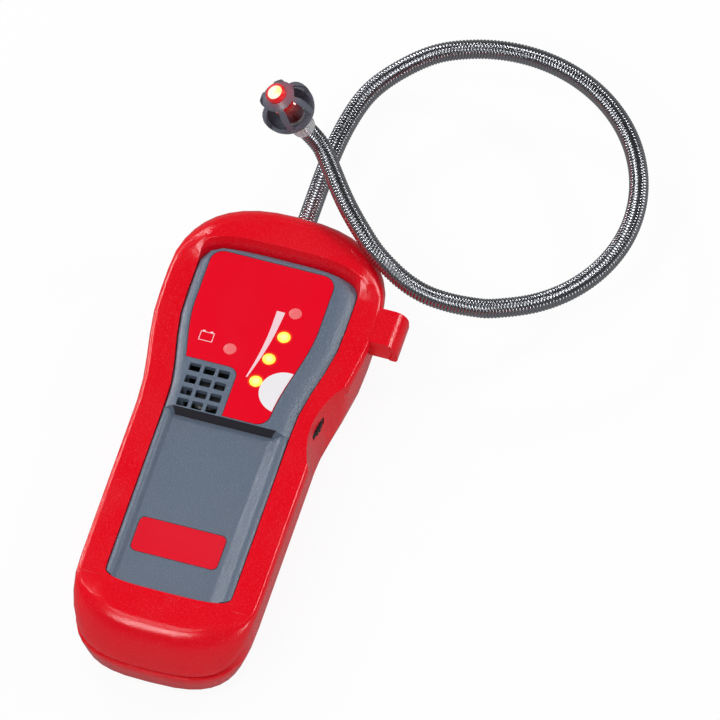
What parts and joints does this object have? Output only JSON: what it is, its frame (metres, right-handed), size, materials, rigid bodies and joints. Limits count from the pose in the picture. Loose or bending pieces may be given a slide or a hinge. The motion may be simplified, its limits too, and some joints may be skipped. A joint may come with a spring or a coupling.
{
  "type": "gas leak detector",
  "caption": "Hand-held gas leak detector: waisted case in a moulded boot with probe clip, level lamps, grille, thumbwheel and a gooseneck with a caged sensor head.",
  "frame": {"origin": "middle of the flat rear face that it lies on, on the long centre line", "axes": "+Z out of the front face, +Y along the case towards the probe end, +X to the side with the thumbwheel and clip"},
  "size_m": [0.1835, 0.3412, 0.094],
  "materials": {
    "boot_elastomer": "satin moulded elastomer",
    "case_plastic": "fine textured",
    "label_print": "printed film",
    "lamp_lit": "lit yellow lens",
    "lamp_unlit": "tinted lens",
    "zinc_steel": "zinc plated",
    "cell_wrap": "plain wrap",
    "nickel_brass": "nickel plated",
    "board_laminate": "solder resist",
    "black_plastic": "moulded",
    "guard_plastic": "moulded",
    "bright_steel": "bright plated",
    "light_guide": "clear red"
  },
  "bodies": {
    "case": {"boot": "boot_elastomer", "front_shell": "case_plastic", "rear_shell": "case_plastic", "battery_door": "case_plastic", "battery_door_screw": "zinc_steel", "front_label": "label_print", "badge": "label_print", "level_led_1": "lamp_lit", "level_led_2": "lamp_lit", "level_led_3": "lamp_lit", "level_led_4": "lamp_unlit", "battery_led": "lamp_unlit", "case_screw_1": "zinc_steel", "case_screw_2": "zinc_steel", "case_screw_3": "zinc_steel", "case_screw_4": "zinc_steel", "battery_1": "cell_wrap", "battery_2": "cell_wrap", "battery_3": "cell_wrap", "battery_contact": "nickel_brass", "circuit_board": "board_laminate", "sensitivity_control": "black_plastic", "speaker": "black_plastic", "gooseneck_nut": "zinc_steel"},
    "thumbwheel": {"thumbwheel": "black_plastic"},
    "gooseneck": {"gooseneck": "bright_steel"},
    "head": {"head_collar": "bright_steel", "sensor_guard": "guard_plastic", "gas_sensor": "zinc_steel", "tip_bezel": "light_guide", "tip_light": "lamp_lit"}
  },
  "joints": [
    {"name": "thumbwheel_turn", "type": "hinge", "parent": "case", "child": "thumbwheel", "pos_m": [0.02719, 0.018, 0.0319], "axis": [0, 0, 1], "range_deg": [-135, 135]},
    {"name": "gooseneck_swing", "type": "hinge", "parent": "case", "child": "gooseneck", "pos_m": [0, 0.126, 0.023], "axis": [0, 0, 1], "range_deg": [0, 60], "deforming": ["gooseneck"]},
    {"name": "head_tilt", "type": "hinge", "parent": "gooseneck", "child": "head", "pos_m": [0.004, 0.1356, 0.053], "axis": [0.6978, 0.6228, 0.3539], "range_deg": [-30, 40], "deforming": ["gooseneck"]}
  ]
}
